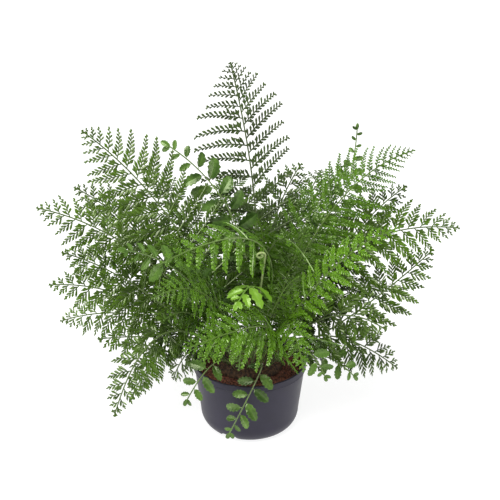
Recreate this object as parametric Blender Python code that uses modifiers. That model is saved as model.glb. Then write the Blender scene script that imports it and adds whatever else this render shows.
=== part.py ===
"""Fern in a plastic nursery pot: a dense spleenwort with fine-cut tall fronds and a few broad-leaved low ones.

The pot stands on the plane Z = 0 with the centre of its base at the origin, and +Z is up. Each frond, each
young curled shoot, the crown they grow from, the potting bark and the pot is an object of its own. Metres.
"""

import math
from collections import namedtuple

import bmesh
import bpy
from mathutils import Matrix, Vector
from mathutils.bvhtree import BVHTree

MM = 0.001
UP = Vector((0, 0, 1))
NAME = "potted_fern"

# Pot
POT_RADIUS = 85 * MM
POT_HEIGHT = 106 * MM
RIM_HEIGHT = 10 * MM
RIM_STEP = 2 * MM
WALL = 1.8 * MM
WALL_TAPER = 1 / 8
CORNER_WIDTH = 24 * MM
CORNER_HEIGHT = 28 * MM
CORNER_POINTS = 6
TURN_STEPS = 40

# Drain slots, low in the rounded corner of the pot and open below
DRAIN_SLOTS = 3
SLOT_WIDTH = 28 * MM
SLOT_HEIGHT = 10 * MM
SLOT_DEPTH = 28 * MM
SLOT_RADIUS = 58 * MM
SLOT_DIRECTION = math.radians(-119)

# Bark and crown
FIT_GAP = 0.4 * MM
SOIL_TOP = 98 * MM
SOIL_DIP = 3 * MM
SOIL_FLAT_RADIUS = 58 * MM
CROWN_RADIUS = 50 * MM
CROWN_HEIGHT = 12 * MM
CROWN_EDGE = 5 * MM

# Fronds
STEM_WIDTH = 2.6 * MM
STEM_TIP_WIDTH = 1.2 * MM
FROND_THICKNESS = 1.3 * MM
STIPE_STATIONS = 4
BASE_RADIUS = 43 * MM
BASE_LIFT = 2.0 * MM
NEIGHBOUR_GAP = 1.6 * MM
PINNA_LENGTHS = (1.0, 0.85, 0.7, 0.55, 0.4, 0.25)

# pairs: pinnae on each side
# stipe: bare share of the stem
# reach: longest pinna, as a share of the blade's length
# low_lean, high_lean: angle between a pinna and the stem, in degrees, at the blade's foot and tip
# droop: how far a pinna's tip hangs, as a share of its length
# taper: share of the blade, at its tip, where the pinnae shorten
# skew: how much further the pinnae lean on one side, and less on the other, in degrees
Kind = namedtuple("Kind", "pairs stipe reach low_lean high_lean droop taper skew")
KINDS = {
    "tall": Kind(9, 0.26, 0.22, 62, 54, 0.30, 0.30, 10),
    "fine": Kind(9, 0.16, 0.24, 84, 62, 0.14, 0.42, 0),
    "dense": Kind(10, 0.14, 0.24, 72, 50, 0.20, 0.55, 0),
    "lobed": Kind(8, 0.20, 0.155, 80, 60, 0.30, 0.45, 0),
    "broad": Kind(7, 0.35, 0.16, 75, 55, 0.10, 0.35, 0),
    "young": Kind(3, 0.60, 0.42, 75, 45, 0.15, 0.50, 0),
}
FOOT_SHARE = 0.75
FOOT_GROWTH = 0.15

# name, kind, middle point and tip in millimetres, roll of the blade about its stem in degrees, width
FRONDS = (
    ("crest", "tall", (10, 30, 315), (-27, 50, 546), -25, 1.0),
    ("upper_left", "fine", (-100, -30, 325), (-230, -10, 465), -60, 1.0),
    ("upper_right", "dense", (110, 10, 330), (235, 30, 425), 50, 1.0),
    ("left_high", "fine", (-150, 0, 270), (-305, 10, 345), -55, 0.85),
    ("left_middle", "fine", (-155, -40, 240), (-260, -60, 305), -50, 0.9),
    ("left_wide", "fine", (-170, 20, 195), (-300, 30, 215), -50, 0.8),
    ("left_low", "fine", (-115, -10, 145), (-225, -10, 145), -45, 0.9),
    ("left_droop", "fine", (-120, -80, 190), (-190, -130, 85), -40, 0.65),
    ("right_tip", "fine", (140, 20, 270), (305, 20, 310), 50, 0.85),
    ("right_middle", "fine", (150, -20, 190), (265, 0, 285), 50, 0.9),
    ("right_bright", "dense", (105, -80, 280), (205, -100, 360), 60, 0.6),
    ("right_low", "fine", (110, -50, 200), (195, -60, 185), 60, 1.0),
    ("right_droop", "fine", (120, 0, 145), (225, 10, 85), 50, 0.9),
    ("arch_left", "lobed", (20, -70, 315), (-120, -140, 320), -40, 1.0),
    ("arch_right", "lobed", (30, -40, 305), (85, -125, 305), -40, 1.0),
    ("skirt", "dense", (25, -100, 210), (-90, -160, 205), -40, 1.2),
    ("skirt_right", "dense", (50, -85, 205), (75, -120, 150), 30, 1.0),
    ("skirt_middle", "dense", (-8, -90, 190), (-15, -115, 150), 0, 1.0),
    ("skirt_left", "dense", (-25, -80, 198), (-65, -125, 165), -30, 1.0),
    ("lobed_left", "lobed", (-70, -75, 212), (-115, -140, 240), -60, 1.0),
    ("fan_left", "dense", (-55, -100, 255), (-125, -190, 295), -55, 1.0),
    ("right_lobed", "lobed", (60, -60, 170), (130, -90, 175), -40, 1.0),
    ("silver", "dense", (35, -85, 235), (65, -130, 300), -30, 0.9),
    ("upper_right_inner", "dense", (70, 60, 270), (145, 100, 385), 40, 1.0),
    ("crest_right", "fine", (30, 90, 265), (80, 140, 370), 25, 1.0),
    ("broad_top", "broad", (-15, 0, 310), (-115, 20, 435), -60, 1.0),
    ("broad_left", "broad", (-75, -95, 270), (-160, -160, 350), -60, 1.0),
    ("broad_right", "broad", (125, 100, 265), (164, 150, 424), 30, 0.6),
    ("broad_young", "young", (8, -100, 262), (-16, -168, 278), 0, 1.0),
    ("broad_dark_left", "broad", (-50, -55, 235), (-80, -105, 295), 45, 1.3),
    ("broad_over_rim_front", "broad", (15, -90, 135), (-30, -105, 40), -20, 1.4),
    ("broad_over_rim_left", "broad", (-50, -75, 140), (-90, -105, 95), -30, 2.0),
    ("broad_over_rim_right", "broad", (100, -30, 130), (155, -40, 98), 50, 2.0),
    ("broad_front_right", "broad", (75, -65, 155), (108, -85, 122), 50, 2.0),
    ("left_rear", "fine", (-150, 70, 260), (-265, 100, 345), -55, 0.9),
    ("left_curl", "fine", (-170, 80, 140), (-305, 120, 110), -70, 0.7),
    ("left_small_droop", "fine", (-110, -20, 150), (-175, -50, 65), -45, 0.7),
    ("left_stub", "fine", (-80, -30, 140), (-115, -15, 80), -50, 0.9),
    ("right_rear", "fine", (145, 80, 260), (240, 120, 340), 40, 0.8),
    ("inner_left", "dense", (-60, -40, 250), (-130, -70, 330), -55, 1.0),
    ("inner_right", "dense", (55, -30, 260), (80, -55, 345), -45, 1.0),
    ("inner_front", "dense", (20, -15, 265), (10, -30, 345), 0, 1.0),
    ("inner_rear", "dense", (-20, 60, 270), (-50, 100, 360), -20, 1.0),
    ("rear_high", "fine", (-15, 95, 290), (-40, 190, 340), 0, 1.0),
    ("rear_high_right", "fine", (65, 95, 265), (115, 200, 340), 0, 1.0),
    ("rear_high_left", "fine", (-80, 85, 270), (-170, 160, 360), 0, 1.0),
    ("rear_middle", "fine", (15, 130, 200), (25, 270, 255), 0, 1.0),
    ("rear_middle_left", "dense", (-70, 130, 200), (-140, 250, 275), 0, 1.0),
    ("rear_middle_right", "dense", (85, 130, 200), (135, 250, 265), 0, 1.0),
    ("rear_wide_left", "fine", (-125, 105, 210), (-215, 185, 250), 0, 1.0),
    ("rear_wide_right", "fine", (130, 105, 210), (230, 190, 240), 0, 1.0),
    ("rear_low_right", "fine", (140, 65, 180), (250, 115, 170), 0, 1.0),
    ("rear_low_left", "fine", (-130, 80, 170), (-225, 140, 150), 0, 1.0),
    ("rear_droop", "lobed", (40, 135, 165), (70, 235, 95), 0, 1.0),
    ("rear_droop_left", "lobed", (-45, 130, 160), (-105, 220, 90), 0, 1.0),
    ("broad_over_rim_rear", "broad", (-5, 90, 130), (-10, 120, 50), 0, 1.3),
)

# Young curled shoots: name, foot and top of the straight stem in millimetres
SHOOT_WIDTH = 3 * MM
CURL_RADIUS = 6.5 * MM
CURL_CORE = 2.2 * MM
CURL_TURNS = 1.25
CURL_POINTS = 16
SHOOTS = (("curled_shoot", (3, -6), (21, -105, 320)),)

COLOURS = {
    "pot": (0.05, 0.045, 0.06),
    "soil": (0.11, 0.05, 0.03),
    "crown": (0.07, 0.045, 0.02),
    "tall": (0.03, 0.075, 0.015),
    "fine": (0.035, 0.10, 0.03),
    "dense": (0.06, 0.17, 0.03),
    "lobed": (0.05, 0.15, 0.05),
    "young": (0.20, 0.38, 0.04),
    "broad": (0.10, 0.26, 0.04),
    "shoot": (0.35, 0.42, 0.16),
}
LEAF_ROUGHNESS = 0.45
DRY_ROUGHNESS = 0.9
POT_ROUGHNESS = 0.5


def clear_scene():
    for item in list(bpy.data.objects):
        bpy.data.objects.remove(item, do_unlink=True)


def make_collection(name):
    collection = bpy.data.collections.new(name)
    bpy.context.scene.collection.children.link(collection)
    return collection


def make_material(name, colour, roughness):
    material = bpy.data.materials.new(name)
    material.use_nodes = True
    shader = material.node_tree.nodes["Principled BSDF"]
    shader.inputs["Base Color"].default_value = (*colour, 1)
    shader.inputs["Roughness"].default_value = roughness
    shader.inputs["Metallic"].default_value = 0
    return material


def add_object(name, data, collection, colour=None, roughness=LEAF_ROUGHNESS):
    item = bpy.data.objects.new(name, data)
    collection.objects.link(item)
    if colour is not None:
        data.materials.append(make_material(name, colour, roughness))
    return item


def wall_radius(height):
    """Outer radius of the pot's wall below the rim, at a height above the base."""
    return POT_RADIUS - RIM_STEP - (POT_HEIGHT - RIM_HEIGHT - height) * WALL_TAPER


def pot_side(inset, floor):
    """Points (radius, height) down a side of the pot from under the rim to its base, inset from the outside."""
    foot = wall_radius(CORNER_HEIGHT)
    centre = Vector((foot - CORNER_WIDTH, CORNER_HEIGHT))
    points = [(wall_radius(POT_HEIGHT - RIM_HEIGHT) - inset, POT_HEIGHT - RIM_HEIGHT)]
    for step in range(CORNER_POINTS + 1):
        angle = math.radians(90) * step / CORNER_POINTS
        radius = centre.x + (CORNER_WIDTH - inset) * math.cos(angle)
        height = centre.y - (CORNER_HEIGHT - floor) * math.sin(angle)
        points.append((radius, height))
    points.append((0, floor))
    return points


def turn(name, profile, collection, colour, roughness):
    """A solid turned about Z from (radius, height) points that run up the inside and down the outside."""
    mesh = bpy.data.meshes.new(name)
    vertices = [(radius, 0, height) for radius, height in profile]
    edges = [(i, i + 1) for i in range(len(vertices) - 1)]
    mesh.from_pydata(vertices, edges, [])
    item = add_object(name, mesh, collection, colour, roughness)
    screw = item.modifiers.new("turn", "SCREW")
    screw.axis = "Z"
    screw.steps = TURN_STEPS
    screw.render_steps = TURN_STEPS
    screw.use_merge_vertices = True
    screw.merge_threshold = 0.00005
    screw.use_smooth_shade = True
    return item


def make_pot(parts, cutters):
    inner = list(reversed(pot_side(WALL, WALL)))
    rim = [
        (POT_RADIUS - RIM_STEP - WALL / 2, POT_HEIGHT),
        (POT_RADIUS, POT_HEIGHT),
        (POT_RADIUS, POT_HEIGHT - RIM_HEIGHT),
    ]
    pot = turn("pot", inner + rim + pot_side(0, 0), parts, COLOURS["pot"], POT_ROUGHNESS)
    slots = make_slot_cutter(cutters)
    cut = pot.modifiers.new("drain_slots", "BOOLEAN")
    cut.operation = "DIFFERENCE"
    cut.object = slots
    return pot


def make_slot_cutter(cutters):
    """One object of boxes, spaced evenly round the pot's bottom corner."""
    mesh = bpy.data.meshes.new("slot_cutter")
    shape = bmesh.new()
    for slot in range(DRAIN_SLOTS):
        turn_by = Matrix.Rotation(SLOT_DIRECTION + 2 * math.pi * slot / DRAIN_SLOTS, 4, "Z")
        place = Matrix.Translation((SLOT_RADIUS, 0, 0))
        size = Matrix.Diagonal((SLOT_DEPTH, SLOT_WIDTH, 2 * SLOT_HEIGHT, 1))
        bmesh.ops.create_cube(shape, size=1, matrix=turn_by @ place @ size)
    shape.to_mesh(mesh)
    shape.free()
    cutter = add_object("slot_cutter", mesh, cutters)
    cutter.hide_render = True
    cutter.display_type = "WIRE"
    return cutter


def make_soil(parts):
    side = pot_side(WALL + FIT_GAP, WALL + FIT_GAP)[1:]
    edge_height = SOIL_TOP - SOIL_DIP
    edge_radius = wall_radius(edge_height) - WALL - FIT_GAP
    top = [(0, SOIL_TOP), (SOIL_FLAT_RADIUS, SOIL_TOP), (edge_radius, edge_height)]
    return turn("soil", top + side, parts, COLOURS["soil"], DRY_ROUGHNESS)


def make_crown(parts):
    foot = SOIL_TOP + FIT_GAP
    profile = [
        (0, foot + CROWN_HEIGHT),
        (CROWN_RADIUS - CROWN_EDGE, foot + CROWN_HEIGHT),
        (CROWN_RADIUS, foot + CROWN_HEIGHT - CROWN_EDGE),
        (CROWN_RADIUS, foot),
        (0, foot),
    ]
    return turn("crown", profile, parts, COLOURS["crown"], DRY_ROUGHNESS)


def crown_top():
    return SOIL_TOP + FIT_GAP + CROWN_HEIGHT + BASE_LIFT


def make_shoot(name, foot, top, parts):
    """A stem that leans from its foot to its top and ends in a spiral curl, as a tube."""
    start = Vector((foot[0] * MM, foot[1] * MM, crown_top() + SHOOT_WIDTH))
    end = Vector(top) * MM
    ahead = (end - start).normalized()
    inward = ahead.cross(Vector((0, 0, 1))).normalized()
    points = [start.lerp(end, share) for share in (0, 0.25, 0.5, 0.75)]
    for step in range(CURL_POINTS + 1):
        share = step / CURL_POINTS
        radius = CURL_RADIUS + (CURL_CORE - CURL_RADIUS) * share
        angle = 2 * math.pi * CURL_TURNS * share
        centre = end + inward * CURL_RADIUS
        points.append(centre - inward * radius * math.cos(angle) + ahead * radius * math.sin(angle))
    curve = bpy.data.curves.new(name, "CURVE")
    curve.dimensions = "3D"
    curve.bevel_depth = SHOOT_WIDTH / 2
    curve.bevel_resolution = 1
    curve.use_fill_caps = True
    spline = curve.splines.new("POLY")
    spline.points.add(len(points) - 1)
    for place, point in zip(spline.points, points):
        place.co = (*point, 1)
    return add_object(name, curve, parts, COLOURS["shoot"])


def frond_base(middle):
    """Where a frond leaves the crown: on its own side, and nearer the middle the steeper it stands."""
    away = Vector((middle.x, middle.y, 0))
    rise = middle.z - crown_top()
    spread = away.length / math.hypot(away.length, rise)
    return away.normalized() * BASE_RADIUS * spread + UP * crown_top()


def frond_stations(kind, middle, tip, roll):
    """Points along the stem, a parabola by base, middle and tip, each with its direction and side."""
    base = frond_base(middle)
    outward = Vector((tip.x - base.x, tip.y - base.y, 0)).normalized()
    shares = [kind.stipe * i / STIPE_STATIONS for i in range(STIPE_STATIONS)]
    shares += [kind.stipe + (1 - kind.stipe) * i / kind.pairs for i in range(kind.pairs + 1)]
    stations = []
    for t in shares:
        point = base * (1 - t) * (1 - 2 * t) + middle * 4 * t * (1 - t) + tip * t * (2 * t - 1)
        ahead = (base * (4 * t - 3) + middle * (4 - 8 * t) + tip * (4 * t - 1)).normalized()
        side = UP.cross(outward)
        side = (side - ahead * side.dot(ahead)).normalized()
        side.rotate(Matrix.Rotation(math.radians(roll), 3, ahead))
        stations.append((point, ahead, side))
    return stations


def pinna_share(along, taper):
    """Length of a pinna at a place from 0 at the blade's foot to 1 at its tip, as a share of the longest."""
    left = min(1, (1 - along) / taper)
    grown = min(1, FOOT_SHARE + (1 - FOOT_SHARE) * along / FOOT_GROWTH)
    return left * (1.35 - 0.35 * left) * grown


class Frond:
    """The open surface of a frond: a strip for the stem, and a pointed blade for each pinna at its sides."""

    def __init__(self, name, kind_name, middle, tip, roll, width):
        self.name = name
        self.width = width
        self.colour = COLOURS[kind_name]
        self.kind = KINDS[kind_name]
        self.stations = frond_stations(self.kind, Vector(middle) * MM, Vector(tip) * MM, roll)
        self.vertices = []
        self.faces = []
        self.add_stem()

    def add_stem(self):
        last = len(self.stations) - 1
        for i, (point, _, side) in enumerate(self.stations):
            half = (STEM_WIDTH + (STEM_TIP_WIDTH - STEM_WIDTH) * i / last) / 2
            self.vertices += [point - side * half, point + side * half]
        for i in range(last):
            self.faces.append((2 * i, 2 * i + 1, 2 * i + 3, 2 * i + 2))

    def blade_length(self):
        points = [station[0] for station in self.stations[STIPE_STATIONS:]]
        return sum((b - a).length for a, b in zip(points, points[1:]))

    def pinna_tip(self, pair, way, share):
        point, ahead, side = self.stations[STIPE_STATIONS + pair]
        after = self.stations[STIPE_STATIONS + pair + 1][0]
        along = (pair + 0.5) / self.kind.pairs
        mean_lean = self.kind.low_lean + (self.kind.high_lean - self.kind.low_lean) * along
        lean = math.radians(mean_lean + self.kind.skew * way)
        longest = self.blade_length() * self.kind.reach * self.width
        length = longest * pinna_share(along, self.kind.taper) * share
        reach = ahead * math.cos(lean) + side * way * math.sin(lean) - UP * self.kind.droop
        return (point + after) / 2 + reach * length

    def add_pinnae(self, neighbours):
        """Grows each pinna as long as its neighbours leave room for."""
        for pair in range(self.kind.pairs):
            for way in (-1, 1):
                low = 2 * (STIPE_STATIONS + pair) + (way > 0)
                for share in PINNA_LENGTHS:
                    tip = self.pinna_tip(pair, way, share)
                    blade = [self.vertices[low], self.vertices[low + 2], tip]
                    if is_clear(blade, neighbours):
                        self.vertices.append(tip)
                        corners = (low, low + 2, len(self.vertices) - 1)
                        self.faces.append(corners if way < 0 else corners[::-1])
                        break

    def make(self, parts):
        mesh = bpy.data.meshes.new(self.name)
        mesh.from_pydata(self.vertices, [], self.faces)
        item = add_object(self.name, mesh, parts, self.colour)
        thicken = item.modifiers.new("thickness", "SOLIDIFY")
        thicken.thickness = FROND_THICKNESS
        thicken.offset = 0
        return item


def is_clear(blade, neighbours):
    """True if a three-cornered blade, grown by the gap on every side, meets none of its neighbours."""
    centre = sum(blade, Vector()) / 3
    across = (blade[1] - blade[0]).cross(blade[2] - blade[0]).normalized() * NEIGHBOUR_GAP
    corners = []
    for level in (-1, 1):
        for corner in blade:
            out = (corner - centre).normalized() * NEIGHBOUR_GAP
            corners.append(corner + out + across * level)
    sides = [(0, 1, 2), (3, 4, 5), (0, 1, 4, 3), (1, 2, 5, 4), (2, 0, 3, 5)]
    return not BVHTree.FromPolygons(corners, sides).overlap(neighbours)


def surface_of(item):
    """World points and faces of an object as it stands, modifiers included."""
    solid = item.evaluated_get(bpy.context.evaluated_depsgraph_get())
    mesh = solid.to_mesh()
    points = [item.matrix_world @ vertex.co for vertex in mesh.vertices]
    faces = [tuple(face.vertices) for face in mesh.polygons]
    solid.to_mesh_clear()
    return points, faces


def joined_tree(surfaces):
    """One search tree over several (points, faces) surfaces."""
    points = []
    faces = []
    for some_points, some_faces in surfaces:
        first = len(points)
        points += some_points
        faces += [tuple(first + i for i in face) for face in some_faces]
    return BVHTree.FromPolygons(points, faces)


def make_fronds(parts, fixed_items):
    fixed = [surface_of(item) for item in fixed_items]
    fronds = [Frond(*row) for row in FRONDS]
    for frond in fronds:
        others = [(other.vertices, other.faces) for other in fronds if other is not frond]
        frond.add_pinnae(joined_tree(fixed + others))
    for frond in fronds:
        frond.make(parts)
    return fronds


def main():
    clear_scene()
    parts = make_collection(NAME)
    cutters = make_collection("cutters")
    pot = make_pot(parts, cutters)
    soil = make_soil(parts)
    crown = make_crown(parts)
    shoots = [make_shoot(*row, parts) for row in SHOOTS]
    return make_fronds(parts, [pot, soil, crown, *shoots])


if __name__ == "__main__":
    main()
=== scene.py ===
"""Potted fern: the finished surfaces of a fern in a nursery pot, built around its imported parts.

Every frond is worked out flat first, as a stem with pinnae and leaf segments on a sheet of its own. Points on
that sheet are (along the stem, across it, off the sheet). The sheet is then bent along the frond's stem.
Metres, +Z up.
"""

import math
from collections import namedtuple

import bpy
import numpy as np
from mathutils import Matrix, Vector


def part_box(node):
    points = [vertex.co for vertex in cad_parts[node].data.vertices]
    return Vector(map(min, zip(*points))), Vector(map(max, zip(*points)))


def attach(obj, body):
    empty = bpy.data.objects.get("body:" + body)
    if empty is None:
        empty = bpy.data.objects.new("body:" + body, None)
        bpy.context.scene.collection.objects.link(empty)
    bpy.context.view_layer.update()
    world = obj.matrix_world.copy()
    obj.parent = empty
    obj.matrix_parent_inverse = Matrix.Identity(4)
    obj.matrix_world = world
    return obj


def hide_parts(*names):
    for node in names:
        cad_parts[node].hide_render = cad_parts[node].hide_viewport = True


bl_info = {
    "name": "Potted Fern",
    "version": (1, 0, 0),
    "blender": (4, 5, 0),
    "location": "View3D > Sidebar > Fern",
    "description": "Makes a fern in a nursery pot around its packed parts",
    "category": "Add Mesh",
}

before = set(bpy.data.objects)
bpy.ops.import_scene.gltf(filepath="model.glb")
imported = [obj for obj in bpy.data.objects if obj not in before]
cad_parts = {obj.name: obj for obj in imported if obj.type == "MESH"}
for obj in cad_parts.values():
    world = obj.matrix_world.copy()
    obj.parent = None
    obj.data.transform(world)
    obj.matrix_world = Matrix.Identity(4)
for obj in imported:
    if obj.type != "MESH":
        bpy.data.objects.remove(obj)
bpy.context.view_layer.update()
BODY = "root"
MM = 0.001
UP = np.array([0.0, 0.0, 1.0])

# The map that lays a frond out flat, upper side below the middle of the image and underside above it
FLAT_MAP = "OFBake"

Row = namedtuple("Row", "name kind middle tip roll width tone")
Surface = namedtuple("Surface", "points quads triangles tone stem")
NO_TRIANGLES = np.zeros((0, 3), int)
NO_QUADS = np.zeros((0, 4), int)

# name, kind, middle point and tip in millimetres, roll of the blade in degrees, width, lightness.
# The places are those of the CAD part's own fronds.
# Lightness: each frond's own green, and painted shade on the inner fronds, set darker as they lie in shade.
FRONDS = [Row(*row) for row in (
    ("crest", "tall", (10, 30, 315), (-27, 50, 546), -25, 1.0, 0.15),
    ("upper_left", "fine", (-100, -30, 325), (-230, -10, 465), -60, 1.0, 0.35),
    ("upper_right", "dense", (110, 10, 330), (235, 30, 425), 50, 1.0, 0.3),
    ("left_high", "fine", (-150, 0, 270), (-305, 10, 345), -55, 0.85, 0.45),
    ("left_middle", "fine", (-155, -40, 240), (-260, -60, 305), -50, 0.9, 0.35),
    ("left_wide", "fine", (-170, 20, 195), (-300, 30, 215), -50, 0.8, 0.5),
    ("left_low", "fine", (-115, -10, 145), (-225, -10, 145), -45, 0.9, 0.4),
    ("left_droop", "fine", (-120, -80, 190), (-190, -130, 85), -40, 0.65, 0.3),
    ("right_tip", "fine", (140, 20, 270), (305, 20, 310), 50, 0.85, 0.4),
    ("right_middle", "fine", (150, -20, 190), (265, 0, 285), 50, 0.9, 0.25),
    ("right_bright", "dense", (105, -80, 280), (205, -100, 360), 60, 0.6, 0.8),
    ("right_low", "fine", (110, -50, 200), (195, -60, 185), 60, 1.0, 0.35),
    ("right_droop", "fine", (120, 0, 145), (225, 10, 85), 50, 0.9, 0.25),
    ("arch_left", "lobed", (20, -70, 315), (-120, -140, 320), -40, 1.0, 0.5),
    ("arch_right", "lobed", (30, -40, 305), (85, -125, 305), -40, 1.0, 0.4),
    ("skirt", "dense", (25, -100, 210), (-90, -160, 205), -40, 1.2, 0.5),
    ("skirt_right", "dense", (50, -85, 205), (75, -120, 150), 30, 1.0, 0.55),
    ("skirt_middle", "dense", (-8, -90, 190), (-15, -115, 150), 0, 1.0, 0.4),
    ("skirt_left", "dense", (-25, -80, 198), (-65, -125, 165), -30, 1.0, 0.5),
    ("lobed_left", "lobed", (-70, -75, 212), (-115, -140, 240), -60, 1.0, 0.25),
    ("fan_left", "dense", (-55, -100, 255), (-125, -190, 295), -55, 1.0, 0.45),
    ("right_lobed", "lobed", (60, -60, 170), (130, -90, 175), -40, 1.0, 0.4),
    ("silver", "dense", (35, -85, 235), (65, -130, 300), -30, 0.9, 0.2),
    ("upper_right_inner", "dense", (70, 60, 270), (145, 100, 385), 40, 1.0, 0.15),
    ("crest_right", "fine", (30, 90, 265), (80, 140, 370), 25, 1.0, 0.2),
    ("broad_top", "broad", (-15, 0, 310), (-115, 20, 435), -60, 1.0, 0.02),
    ("broad_left", "broad", (-75, -95, 270), (-160, -160, 350), -60, 1.0, 0.2),
    ("broad_right", "broad", (125, 100, 265), (164, 150, 424), 30, 0.6, 0.0),
    ("broad_young", "young", (8, -100, 262), (-16, -168, 278), 0, 1.0, 0.6),
    ("broad_dark_left", "broad", (-50, -55, 235), (-80, -105, 295), 45, 1.3, 0.05),
    ("broad_over_rim_front", "broad", (15, -90, 135), (-30, -105, 40), -20, 1.4, 0.05),
    ("broad_over_rim_left", "broad", (-50, -75, 140), (-90, -105, 95), -30, 2.0, 0.1),
    ("broad_over_rim_right", "broad", (100, -30, 130), (155, -40, 98), 50, 2.0, 0.15),
    ("broad_front_right", "broad", (75, -65, 155), (108, -85, 122), 50, 2.0, 0.15),
    ("left_rear", "fine", (-150, 70, 260), (-265, 100, 345), -55, 0.9, 0.3),
    ("left_curl", "fine", (-170, 80, 140), (-305, 120, 110), -70, 0.7, 0.5),
    ("left_small_droop", "fine", (-110, -20, 150), (-175, -50, 65), -45, 0.7, 0.3),
    ("left_stub", "fine", (-80, -30, 140), (-115, -15, 80), -50, 0.9, 0.3),
    ("right_rear", "fine", (145, 80, 260), (240, 120, 340), 40, 0.8, 0.15),
    ("inner_left", "dense", (-60, -40, 250), (-130, -70, 330), -55, 1.0, 0.2),
    ("inner_right", "dense", (55, -30, 260), (80, -55, 345), -45, 1.0, 0.15),
    ("inner_front", "dense", (20, -15, 265), (10, -30, 345), 0, 1.0, 0.1),
    ("inner_rear", "dense", (-20, 60, 270), (-50, 100, 360), -20, 1.0, 0.1),
    ("rear_high", "fine", (-15, 95, 290), (-40, 190, 340), 0, 1.0, 0.3),
    ("rear_high_right", "fine", (65, 95, 265), (115, 200, 340), 0, 1.0, 0.35),
    ("rear_high_left", "fine", (-80, 85, 270), (-170, 160, 360), 0, 1.0, 0.3),
    ("rear_middle", "fine", (15, 130, 200), (25, 270, 255), 0, 1.0, 0.45),
    ("rear_middle_left", "dense", (-70, 130, 200), (-140, 250, 275), 0, 1.0, 0.5),
    ("rear_middle_right", "dense", (85, 130, 200), (135, 250, 265), 0, 1.0, 0.4),
    ("rear_wide_left", "fine", (-125, 105, 210), (-215, 185, 250), 0, 1.0, 0.35),
    ("rear_wide_right", "fine", (130, 105, 210), (230, 190, 240), 0, 1.0, 0.4),
    ("rear_low_right", "fine", (140, 65, 180), (250, 115, 170), 0, 1.0, 0.35),
    ("rear_low_left", "fine", (-130, 80, 170), (-225, 140, 150), 0, 1.0, 0.4),
    ("rear_droop", "lobed", (40, 135, 165), (70, 235, 95), 0, 1.0, 0.45),
    ("rear_droop_left", "lobed", (-45, 130, 160), (-105, 220, 90), 0, 1.0, 0.4),
    ("broad_over_rim_rear", "broad", (-5, 90, 130), (-10, 120, 50), 0, 1.3, 0.45),
)]
# How far from the middle the stems start on the crown
BASE_RADIUS = 43 * MM


# ---------------------------------------------------------------- settings

def scalar(name, default, description, **more):
    return bpy.props.FloatProperty(name=name, description=description, default=default, **more)


def share(name, default, description):
    return scalar(name, default, description, min=0, max=1, subtype="FACTOR")


def length(name, default, description):
    return scalar(name, default, description, min=0, precision=4, unit="LENGTH", subtype="DISTANCE")


def angle(name, degrees, description):
    return scalar(name, math.radians(degrees), description, unit="ROTATION", subtype="ANGLE")


def count(name, default, description):
    return bpy.props.IntProperty(name=name, description=description, default=default, min=1)


def colour(name, default, description):
    return bpy.props.FloatVectorProperty(
        name=name, description=description, default=default, min=0, max=1, size=3, subtype="COLOR"
    )


# What a user can set for a frond: its key, the helper that makes it, its label and what it means.
# Every kind of frond has the first set. Fronds cut into narrow segments, and fronds with whole leaflets that
# have a lobed edge, each have a further set.
FROND_SETTINGS = (
    ("pairs", count, "Pinna pairs", "Pairs of pinnae on a frond of the standard length"),
    ("stipe", share, "Bare stem", "Share of the stem's curve below the first pinna"),
    ("reach", share, "Reach", "Longest pinna, as a share of the blade's length"),
    ("crowding", scalar, "Crowding", "How much closer the pinnae stand towards the tip"),
    ("taper", share, "Taper", "Share of the blade, at its tip, where the pinnae shorten"),
    ("low_lean", angle, "Low lean", "Angle of the lowest pinnae to the stem"),
    ("high_lean", angle, "High lean", "Angle of the top pinnae to the stem"),
    ("skew", angle, "Skew", "Added to the lean on one side and taken off it on the other"),
    ("sweep", angle, "Sweep", "How far a pinna turns towards the frond's tip on its way"),
    ("droop", share, "Droop", "How far a pinna's end hangs, as a share of its length"),
    ("lift", angle, "Lift", "How far the pinnae rise from the stem on both sides"),
    ("scatter", angle, "Scatter", "Unevenness of the pinnae's and segments' directions"),
    ("stem_width", length, "Stem width", "Thickness of the stem at its foot"),
    ("dark", colour, "Dark green", "Leaf colour where it is darkest"),
    ("light", colour, "Light green", "Leaf colour where it is lightest"),
    ("under", colour, "Underside", "Colour of the leaf's underside"),
    ("stalk", colour, "Stem colour", "Colour of the stem"),
    ("roughness", share, "Roughness", "Roughness of the leaf's surface"),
)
CUT_SETTINGS = (
    ("segment_length", length, "Segment length", "Longest leaf segment"),
    ("segment_width", length, "Segment width", "Widest leaf segment"),
    ("spacing", length, "Spacing", "Distance between segments on a pinna"),
    ("opening", angle, "Opening", "Angle of a segment to its pinna"),
    ("back", share, "Back segments", "Length of the segments on a pinna's back, as a share"),
    ("narrowing", share, "Narrowing", "How much shorter the last segments are, as a share"),
    ("toothed", share, "Toothed share", "Share of a pinna with toothed segments"),
)
WHOLE_SETTINGS = (
    ("leaflet_width", share, "Width", "Width of a leaflet over its length"),
    ("lobes", count, "Lobes", "Lobes on each edge of a leaflet"),
    ("lobe_depth", share, "Lobe depth", "How deep the edge is cut"),
    ("lobe_slant", share, "Lobe slant", "How far the lobes point forward"),
    ("fold", share, "Fold", "How far a leaflet's halves rise from its midrib"),
)


def frond_properties(further, **defaults):
    """Properties of one kind of frond, with that kind's own defaults."""
    return {
        key: make(label, defaults[key], meaning)
        for key, make, label, meaning in (*FROND_SETTINGS, *further)
    }


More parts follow.
